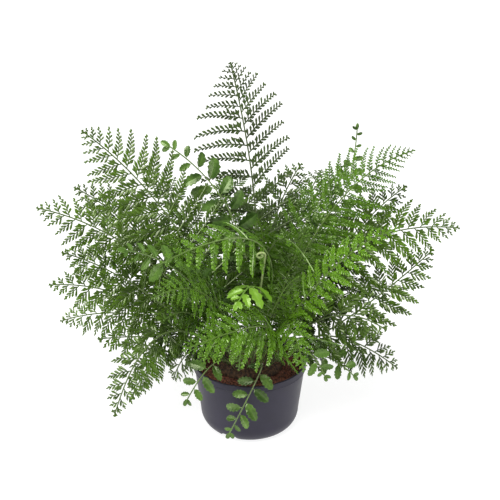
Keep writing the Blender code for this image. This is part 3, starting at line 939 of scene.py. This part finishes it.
def attribute(nodes, name):
    """The values that a mesh holds under that name."""
    node = nodes.nodes.new("ShaderNodeAttribute")
    node.attribute_name = name
    return node.outputs["Fac"]


def add_node(nodes, kind, **inputs):
    """A node with some inputs set, each named in small letters with underscores for spaces."""
    node = nodes.nodes.new(kind)
    for name, value in inputs.items():
        node.inputs[name.replace("_", " ").title()].default_value = value
    return node


def noise(nodes, scale, detail=3.0):
    """Noise from 0 to 1 over the piece's own coordinates."""
    place = nodes.nodes.new("ShaderNodeTexCoord")
    node = add_node(nodes, "ShaderNodeTexNoise", scale=scale, detail=detail)
    nodes.links.new(place.outputs["Object"], node.inputs["Vector"])
    return node.outputs["Fac"]


def stretched(nodes, value, low, high, to_low=0.0, to_high=1.0):
    """The value with its range from low to high spread over another range, and cut off at both ends."""
    node = add_node(
        nodes, "ShaderNodeMapRange", from_min=low, from_max=high, to_min=to_low, to_max=to_high
    )
    nodes.links.new(value, node.inputs["Value"])
    return node.outputs["Result"]


def mixed(nodes, amount, first, second):
    """A colour mixed from two, each a colour or a node's output, by an amount that is a node's output."""
    node = nodes.nodes.new("ShaderNodeMix")
    node.data_type = "RGBA"
    nodes.links.new(amount, node.inputs["Factor"])
    for socket, value in ((node.inputs[6], first), (node.inputs[7], second)):
        if isinstance(value, bpy.types.NodeSocket):
            nodes.links.new(value, socket)
        else:
            socket.default_value = (*value, 1)
    return node.outputs[2]


def bumped(nodes, shader, height, strength, distance):
    """Lets the shader's surface look bumpy by a node's output as height."""
    node = add_node(nodes, "ShaderNodeBump", strength=strength, distance=distance)
    nodes.links.new(height, node.inputs["Height"])
    nodes.links.new(node.outputs["Normal"], shader.inputs["Normal"])


# Leaves reflect a little more green and less blue than white light
LEAF_SHEEN = (0.88, 1, 0.62)


def leaf_material(name, kind):
    """Leaf green from dark to light by each leaf's tone, with soft patches, a paler underside and stems."""
    material, nodes, shader = new_material("leaf_" + name, kind.roughness, 0.6, LEAF_SHEEN)
    green = mixed(nodes, attribute(nodes, "tone"), kind.dark, kind.light)
    patches = stretched(nodes, noise(nodes, 38), 0.42, 0.7, 0.0, 0.45)
    green = mixed(nodes, patches, green, kind.light)
    specks = stretched(nodes, noise(nodes, 420, 2.0), 0.5, 0.75, 0.0, 0.5)
    green = mixed(nodes, specks, green, kind.dark)
    green = mixed(nodes, stretched(nodes, attribute(nodes, "under"), 0, 1, 0, 0.4), green, kind.under)
    green = mixed(nodes, attribute(nodes, "stem"), green, kind.stalk)
    paint(nodes, shader, green)
    return material


def plastic_material(settings):
    """Dark moulded plastic with faint clouds in its sheen and a fine grain."""
    material, nodes, shader = new_material("pot_plastic", settings.roughness, 0.25)
    clouds = noise(nodes, 30)
    paler = tuple(1.25 * value for value in settings.plastic)
    plastic = mixed(nodes, stretched(nodes, clouds, 0.35, 0.7), settings.plastic, paler)
    paint(nodes, shader, plastic)
    low, high = settings.roughness - 0.05, settings.roughness + 0.06
    nodes.links.new(stretched(nodes, clouds, 0.3, 0.7, low, high), shader.inputs["Roughness"])
    bumped(nodes, shader, noise(nodes, 900, 2.0), strength=0.10, distance=0.4 * MM)
    return material


def bark_material(settings):
    """Bark: fibres of dark and red-brown, with the loose chips lighter, some more than others."""
    material, nodes, shader = new_material("potting_bark", 0.75)
    fibres = stretched(nodes, noise(nodes, 260, 4.0), 0.35, 0.68)
    brown = mixed(nodes, fibres, settings.dark, settings.light)
    brown = mixed(nodes, attribute(nodes, "tone"), brown, settings.light)
    paint(nodes, shader, brown)
    bumped(nodes, shader, noise(nodes, 700), strength=0.5, distance=0.8 * MM)
    return material


def crown_material(settings):
    """Brown scales with younger green-brown ones between them."""
    material, nodes, shader = new_material("crown_scales", 0.8)
    scales = stretched(nodes, noise(nodes, 240, 4.0), 0.4, 0.65)
    paint(nodes, shader, mixed(nodes, scales, settings.dark, settings.light))
    bumped(nodes, shader, noise(nodes, 500), strength=0.6, distance=1 * MM)
    return material


def shoot_material(settings):
    """Pale green down with browner scales."""
    material, nodes, shader = new_material("shoot_down", 0.6)
    scales = stretched(nodes, noise(nodes, 380), 0.5, 0.7, 0.0, 0.7)
    paint(nodes, shader, mixed(nodes, scales, settings.down, settings.scales))
    bumped(nodes, shader, noise(nodes, 600), strength=0.5, distance=0.6 * MM)
    return material


def floor_material(settings):
    """Matte white paper with a barely visible grain."""
    material, nodes, shader = new_material("floor_paper", 0.9)
    shade = tuple(0.985 * value for value in settings.floor)
    paint(nodes, shader, mixed(nodes, noise(nodes, 3), settings.floor, shade))
    shader.inputs["Emission Color"].default_value = (1, 1, 1, 1)
    shader.inputs["Emission Strength"].default_value = settings.glow
    return material


# ---------------------------------------------------------------- pot, bark, crown, shoot

TURN_STEPS = 128


def turned_surface(name, profile, smooth, sway=None):
    """A surface turned about Z from profile points (radius, height), up on the axis side and down outside.

    The point at step s of n is (r cos(2 pi s / n), r sin(2 pi s / n), z). The first and last points are poles
    on the axis. sway, where given, moves the array of points (ring, step, 3) before they are joined.
    """
    rings = profile[1:-1]
    grid = on_circle(even_turns(TURN_STEPS), rings[:, :1], rings[:, 1:])
    if sway:
        grid = sway(grid)
    poles = np.array([[0, 0, profile[0, 1]], [0, 0, profile[-1, 1]]])
    points = np.concatenate([grid.reshape(-1, 3), poles])
    return put_mesh(name, points, *ring_faces(len(rings), TURN_STEPS), smooth)


def pot_sizes():
    """Radius and height of the pot, from its CAD node."""
    low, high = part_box("pot")
    return (high.x - low.x) / 2, high.z


def wall_radius(settings, height):
    """Outer radius of the pot's wall below the rim, at a height above the base."""
    radius, top = pot_sizes()
    return radius - settings.rim_step - (top - settings.rim_height - height) * settings.taper


def pot_side(settings, inset, floor):
    """Profile points down a side of the pot, from under the rim to its base, inset from the outside."""
    top = pot_sizes()[1] - settings.rim_height
    foot = wall_radius(settings, settings.corner_height)
    heights = np.linspace(top, settings.corner_height, 10)[:-1]
    wall = np.stack([wall_radius(settings, heights) - inset, heights], axis=1)
    turn = np.linspace(0, math.pi / 2, 14)
    corner = np.stack(
        [
            foot - settings.corner_width + (settings.corner_width - inset) * np.cos(turn),
            settings.corner_height - (settings.corner_height - floor) * np.sin(turn),
        ],
        axis=1,
    )
    base = np.array([[0.03, floor], [0.015, floor], [0, floor]])
    return np.concatenate([wall, corner, base])


def arc(centre, radius, first, last, steps):
    """Profile points on an arc between two angles in degrees."""
    turn = np.radians(np.linspace(first, last, steps))
    return np.stack([centre[0] + radius * np.cos(turn), centre[1] + radius * np.sin(turn)], axis=1)


# The drain slots: where the first one is, how many there are, and their size. The last two values are how
# far their sides and their inner end slope.
SLOT_DIRECTION = math.radians(-119)
SLOT_COUNT = 3
SLOT_HALF_WIDTH = 14 * MM
SLOT_HEIGHT = 10 * MM
SLOT_INNER = 44 * MM
SLOT_REACH = 12 * MM
SLOT_SIDE_SLOPE = 1.5 * MM
SLOT_INNER_SLOPE = 3 * MM


def notch_foot(grid):
    """Raises the foot into the drain slots: by the slot's height at the floor, and less higher up."""
    radius = np.hypot(grid[..., 0], grid[..., 1])
    turn = np.arctan2(grid[..., 1], grid[..., 0]) - SLOT_DIRECTION
    pitch = 2 * math.pi / SLOT_COUNT
    off = np.abs((turn + pitch / 2) % pitch - pitch / 2) * radius
    inside = np.clip((SLOT_HALF_WIDTH - off) / SLOT_SIDE_SLOPE, 0, 1)
    inside = inside * np.clip((radius - SLOT_INNER) / SLOT_INNER_SLOPE, 0, 1)
    left = np.clip(SLOT_REACH - grid[..., 2], 0, None)
    grid[..., 2] += SLOT_HEIGHT / SLOT_REACH * left * inside
    return grid


RIM_ROUNDING = 0.7 * MM


def make_pot(settings):
    """The pot: inside, rounded rim with a bead under its band, and outside, as one turned profile."""
    radius, top = pot_sizes()
    under_rim = top - settings.rim_height
    inner = pot_side(settings, settings.wall, settings.wall)[::-1]
    edge = RIM_ROUNDING
    inner_edge = inner[-1, 0] + edge
    band = radius - settings.bead
    rim = np.concatenate([
        arc((inner_edge, top - edge), edge, 180, 90, 5),
        arc((band - edge, top - edge), edge, 90, 0, 5),
        [[band, under_rim + 4 * edge]],
        arc((radius - edge, under_rim + edge), edge, 60, -90, 7),
        [[wall_radius(settings, under_rim) + 0.3 * MM, under_rim]],
    ])
    profile = np.concatenate([inner, rim, pot_side(settings, 0, 0)])
    pot = turned_surface("pot_shell", profile, True, notch_foot)
    pot.data.set_sharp_from_angle(angle=math.radians(40))
    finish_piece(pot, "pot_plastic", plastic_material(settings), "pot")


NOISE_CELLS = 64


def value_noise(x, y, cell, rng):
    """Smooth noise from -1 to 1 over the plane: random values on a square grid, blended between corners."""
    size = NOISE_CELLS
    values = rng.uniform(-1, 1, (size, size))
    u, v = x / cell % size, y / cell % size
    i, j = np.floor(u).astype(int), np.floor(v).astype(int)
    s, t = u - i, v - j
    s, t = s * s * (3 - 2 * s), t * t * (3 - 2 * t)
    i, j, k, m = i % size, j % size, (i + 1) % size, (j + 1) % size
    low = values[i, j] * (1 - s) + values[k, j] * s
    high = values[i, m] * (1 - s) + values[k, m] * s
    return low * (1 - t) + high * t


BARK_RINGS = 60
BARK_GAP = 0.4 * MM
BARK_LEVEL = 1.0 * MM
BARK_EDGE = 8 * MM


def make_bark(settings, pot):
    """Potting bark: a bumpy disc on a plain plug, with loose chips lying on it."""
    rng = np.random.default_rng(5)
    low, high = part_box("soil")
    edge = (high.x - low.x) / 2
    top = high.z
    rings = np.stack([np.linspace(0, edge, BARK_RINGS), np.full(BARK_RINGS, top - BARK_LEVEL)], axis=1)
    side = pot_side(pot, pot.wall + BARK_GAP, pot.wall + BARK_GAP)
    side = side[side[:, 1] < top - BARK_EDGE]

    def roughen(grid):
        bumpy = grid[:BARK_RINGS - 1]
        x, y = bumpy[..., 0], bumpy[..., 1]
        lumps = value_noise(x, y, 6 * MM, rng) + 0.6 * value_noise(x, y, 2.2 * MM, rng)
        bumpy[..., 2] += settings.unevenness * lumps - settings.unevenness * 0.6
        return notch_foot(grid)

    bark = turned_surface("bark_bed", np.concatenate([rings, side]), False, roughen)
    set_attribute(bark.data, "tone", "POINT", np.zeros(len(bark.data.vertices)))
    material = bark_material(settings)
    finish_piece(bark, "potting_bark", material, "soil")
    chips = scatter_chips(settings, rng, edge - 4 * MM, top - 1.5 * MM)
    finish_piece(chips, "potting_bark", material, "soil")


def scatter_chips(settings, rng, reach, level):
    """Loose chips: flat six-sided pebbles with uneven points, turned every way, on a disc of that reach."""
    number = settings.chips
    turn = rng.uniform(0, 2 * np.pi, number)
    radius = reach * np.sqrt(rng.uniform(0.12, 1, number))
    lengths = settings.chip_length * rng.uniform(0.25, 1, number)
    widths = lengths * rng.uniform(0.25, 0.55, number)
    heights = lengths * rng.uniform(0.12, 0.3, number)
    size = np.stack([lengths, widths, heights], axis=1)
    belt = on_circle(even_turns(6), 1, 0)
    top = on_circle(even_turns(6), 0.6, 0.9)
    bottom = top * [1, 1, -1]
    template = np.concatenate([bottom, belt, top]) / 2
    shape = template[None] * rng.uniform(0.65, 1.25, (number, 18, 1)) * size[:, None]
    heading = rng.uniform(0, 2 * np.pi, number)
    axes = np.stack(turned(heading, rng.normal(0, 0.35, number), rng.normal(0, 0.5, number)), axis=1)
    middle = on_circle(turn, radius, level + heights * 0.4)
    points = middle[:, None] + shape @ axes
    k = np.arange(6)
    after = (k + 1) % 6
    sides = np.concatenate([np.stack([k + s, after + s, after + s + 6, k + s + 6], axis=1) for s in (0, 6)])
    caps = np.array([[3, 2, 1, 0], [5, 4, 3, 0], [12, 13, 14, 15], [12, 15, 16, 17]])
    quads = repeated(np.concatenate([sides, caps]), number, 18)
    chips = put_mesh("bark_chips", points.reshape(-1, 3), quads, NO_TRIANGLES, False)
    tone = np.repeat(rng.uniform(0, 0.8, number) ** 2, 18)
    set_attribute(chips.data, "tone", "POINT", tone)
    return chips


def make_crown(settings):
    """The crown: a rounded mound with lumps, deeper between them."""
    rng = np.random.default_rng(8)
    low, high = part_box("crown")
    radius, foot, top = (high.x - low.x) / 2, low.z, high.z
    turn = np.linspace(0, math.pi / 2, 26)
    dome = np.stack([radius * np.sin(turn) ** 0.8, foot + (top - foot) * np.cos(turn) ** 0.6], axis=1)
    dome[0, 0] = 0

    def roughen(grid):
        x, y = grid[..., 0], grid[..., 1]
        lumps = value_noise(x, y, 7 * MM, rng) + 0.5 * value_noise(x, y, 2.5 * MM, rng)
        grid[:-1, :, 2] += settings.lumps * (lumps[:-1] - 0.7) * 0.6
        return grid

    profile = np.concatenate([dome, [[radius * 0.5, foot], [0, foot]]])
    crown = turned_surface("crown_mound", profile, False, roughen)
    finish_piece(crown, "crown_fibre", crown_material(settings), "crown")


SHOOT_FOOT = (3 * MM, -6 * MM)
SHOOT_TOP = np.array([21, -105, 320]) * MM
SHOOT_STEM_POINTS = 10
SHOOT_CURL_POINTS = 44
SHOOT_SIDES = 10


def make_shoot(settings):
    """The curled shoot: a leaning stem and a spiral that shrinks evenly."""
    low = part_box("curled_shoot")[0]
    foot = np.array([*SHOOT_FOOT, low.z])
    end = SHOOT_TOP
    ahead = unit(end - foot)
    inward = unit(np.cross(ahead, UP))
    stem = foot + (end - foot) * np.linspace(0, 0.97, SHOOT_STEM_POINTS)[:, None]
    part = np.linspace(0, 1, SHOOT_CURL_POINTS)[:, None]
    radius = settings.curl_radius + (settings.core_radius - settings.curl_radius) * part
    turn = 2 * np.pi * settings.turns * part
    centre = end + inward * settings.curl_radius
    curl = centre - inward * radius * np.cos(turn) + ahead * radius * np.sin(turn)
    path = np.concatenate([stem, curl])
    flank = np.cross(ahead, inward)
    across = np.cross(flank, unit(np.gradient(path, axis=0)))
    width = settings.width / 2 * np.concatenate([
        np.linspace(0.75, 0.85, SHOOT_STEM_POINTS), np.linspace(0.9, 1.0, SHOOT_CURL_POINTS)
    ])
    rings = rings_round(path, across, flank, width, SHOOT_SIDES).reshape(-1, 3)
    points = np.concatenate([rings, path[:1], path[-1:]])
    shoot = put_mesh("shoot_curl", points, *ring_faces(len(path), SHOOT_SIDES), True)
    finish_piece(shoot, "young_shoot", shoot_material(settings), "curled_shoot")


# ---------------------------------------------------------------- stage

FLOOR_RADIUS = 60.0
FLOOR_SIDES = 64
KEY_PLACE = (-0.4, -0.8, 1.7)
SIDE_PLACE = (1.6, -0.5, 0.7)
SIDE_AIM = (0, 0, 0.2)
SIDE_SIZE = (0.5, 1.4)
SENSOR_WIDTH = 36


def make_floor(settings):
    """A round floor, wide enough to reach the horizon, as a fan round its middle."""
    side = np.arange(FLOOR_SIDES)
    points = np.concatenate([on_circle(even_turns(FLOOR_SIDES), FLOOR_RADIUS, 0), [[0, 0, 0]]])
    triangles = np.stack([np.full(FLOOR_SIDES, FLOOR_SIDES), side, (side + 1) % FLOOR_SIDES], axis=1)
    floor = put_mesh("floor", points, NO_QUADS, triangles, False)
    floor.data.materials.append(floor_material(settings))


def place_light(light, place, aim):
    """Puts a light at a place and aims it at a point."""
    item = put_object(light.name, light)
    place, aim = np.array(place), np.array(aim)
    away = place - aim
    across = np.cross(UP, away)
    turn_z = math.atan2(across[1], across[0])
    tilt = math.atan2(math.hypot(away[0], away[1]), away[2])
    item.location = place
    item.rotation_euler = (tilt, 0, turn_z)


def make_key_light(settings):
    """Broad even light from above, slightly from the front and left."""
    light = bpy.data.lights.new("key_light", "SUN")
    light.energy = settings.key
    light.angle = settings.key_spread
    place_light(light, KEY_PLACE, (0, 0, 0))


def make_side_light(settings, name, way):
    """Tall light that draws a soft line down the pot's side, on the left (-1) or the right (1)."""
    light = bpy.data.lights.new(name, "AREA")
    light.shape = "RECTANGLE"
    light.size, light.size_y = SIDE_SIZE
    light.energy = settings.side
    place_light(light, (way * SIDE_PLACE[0], *SIDE_PLACE[1:]), SIDE_AIM)


def make_sky(settings):
    """Even white light from all round."""
    world = bpy.data.worlds.new("sky")
    world.use_nodes = True
    background = world.node_tree.nodes["Background"]
    background.inputs["Color"].default_value = (1, 1, 1, 1)
    background.inputs["Strength"].default_value = settings.sky
    bpy.context.scene.world = world


def make_camera(settings):
    """The camera, in front of the plant and looking down at it."""
    camera = bpy.data.cameras.new("camera")
    camera.lens = settings.lens
    camera.sensor_width = SENSOR_WIDTH
    item = put_object("camera", camera)
    rim = pot_sizes()[1]
    item.location = (
        0.0005,
        -settings.distance * math.cos(settings.elevation),
        rim + settings.distance * math.sin(settings.elevation),
    )
    item.rotation_euler = (math.pi / 2 - settings.tilt, 0, 0)
    bpy.context.scene.camera = item


# ---------------------------------------------------------------- operators and panel

def fern():
    return bpy.context.scene.fern


class FERN_OT_stage(bpy.types.Operator):
    """Makes the floor, the lights and the camera"""

    bl_idname = "fern.stage"
    bl_label = "Stage"

    def execute(self, context):
        settings = fern().stage
        make_floor(settings)
        make_sky(settings)
        make_key_light(settings)
        make_side_light(settings, "left_light", -1)
        make_side_light(settings, "right_light", 1)
        make_camera(settings)
        context.scene.view_settings.view_transform = "Standard"
        return {"FINISHED"}


class FERN_OT_pot(bpy.types.Operator):
    """Makes the nursery pot"""

    bl_idname = "fern.pot"
    bl_label = "Pot"

    def execute(self, context):
        make_pot(fern().pot)
        return {"FINISHED"}


class FERN_OT_bark(bpy.types.Operator):
    """Makes the potting bark and its loose chips"""

    bl_idname = "fern.bark"
    bl_label = "Bark"

    def execute(self, context):
        make_bark(fern().bark, fern().pot)
        return {"FINISHED"}


class FERN_OT_crown(bpy.types.Operator):
    """Makes the crown that the fronds grow from"""

    bl_idname = "fern.crown"
    bl_label = "Crown"

    def execute(self, context):
        make_crown(fern().crown)
        return {"FINISHED"}


class FERN_OT_shoot(bpy.types.Operator):
    """Makes the curled shoot"""

    bl_idname = "fern.shoot"
    bl_label = "Curled shoot"

    def execute(self, context):
        make_shoot(fern().shoot)
        return {"FINISHED"}


class FERN_OT_tall_fronds(bpy.types.Operator):
    """Makes the tall dark frond at the top"""

    bl_idname = "fern.tall_fronds"
    bl_label = "Tall frond"

    def execute(self, context):
        grow_fronds("tall", fern().tall, cut_pinnae)
        return {"FINISHED"}


class FERN_OT_fine_fronds(bpy.types.Operator):
    """Makes the tall fronds with fine segments"""

    bl_idname = "fern.fine_fronds"
    bl_label = "Fine fronds"

    def execute(self, context):
        grow_fronds("fine", fern().fine, cut_pinnae)
        return {"FINISHED"}


class FERN_OT_dense_fronds(bpy.types.Operator):
    """Makes the fronds with broader, closer segments"""

    bl_idname = "fern.dense_fronds"
    bl_label = "Dense fronds"

    def execute(self, context):
        grow_fronds("dense", fern().dense, cut_pinnae)
        return {"FINISHED"}


class FERN_OT_lobed_fronds(bpy.types.Operator):
    """Makes the fronds with broad overlapping segments"""

    bl_idname = "fern.lobed_fronds"
    bl_label = "Lobed fronds"

    def execute(self, context):
        grow_fronds("lobed", fern().lobed, cut_pinnae)
        return {"FINISHED"}


class FERN_OT_broad_fronds(bpy.types.Operator):
    """Makes the fronds with short oval leaflets"""

    bl_idname = "fern.broad_fronds"
    bl_label = "Broad fronds"

    def execute(self, context):
        grow_fronds("broad", fern().broad, whole_pinnae)
        return {"FINISHED"}


class FERN_OT_young_frond(bpy.types.Operator):
    """Makes the young frond in front"""

    bl_idname = "fern.young_frond"
    bl_label = "Young frond"

    def execute(self, context):
        grow_fronds("young", fern().young, whole_pinnae)
        return {"FINISHED"}


MAKERS = (
    FERN_OT_stage,
    FERN_OT_pot,
    FERN_OT_bark,
    FERN_OT_crown,
    FERN_OT_shoot,
    FERN_OT_tall_fronds,
    FERN_OT_fine_fronds,
    FERN_OT_dense_fronds,
    FERN_OT_lobed_fronds,
    FERN_OT_broad_fronds,
    FERN_OT_young_frond,
)


class FERN_PT_panel(bpy.types.Panel):
    """Lists the fern's operators"""

    bl_idname = "FERN_PT_panel"
    bl_label = "Potted fern"
    bl_space_type = "VIEW_3D"
    bl_region_type = "UI"
    bl_category = "Fern"

    def draw(self, context):
        for maker in MAKERS:
            self.layout.operator(maker.bl_idname)


CLASSES = (*SETTINGS.values(), FernSettings, *MAKERS, FERN_PT_panel)


def register():
    for item in CLASSES:
        bpy.utils.register_class(item)
    bpy.types.Scene.fern = bpy.props.PointerProperty(type=FernSettings)


def unregister():
    del bpy.types.Scene.fern
    for item in reversed(CLASSES):
        bpy.utils.unregister_class(item)


def main():
    register()
    bpy.ops.fern.stage()
    bpy.ops.fern.pot()
    bpy.ops.fern.bark()
    bpy.ops.fern.crown()
    bpy.ops.fern.shoot()
    bpy.ops.fern.tall_fronds()
    bpy.ops.fern.fine_fronds()
    bpy.ops.fern.dense_fronds()
    bpy.ops.fern.lobed_fronds()
    bpy.ops.fern.broad_fronds()
    bpy.ops.fern.young_frond()


if __name__ == "__main__":
    main()
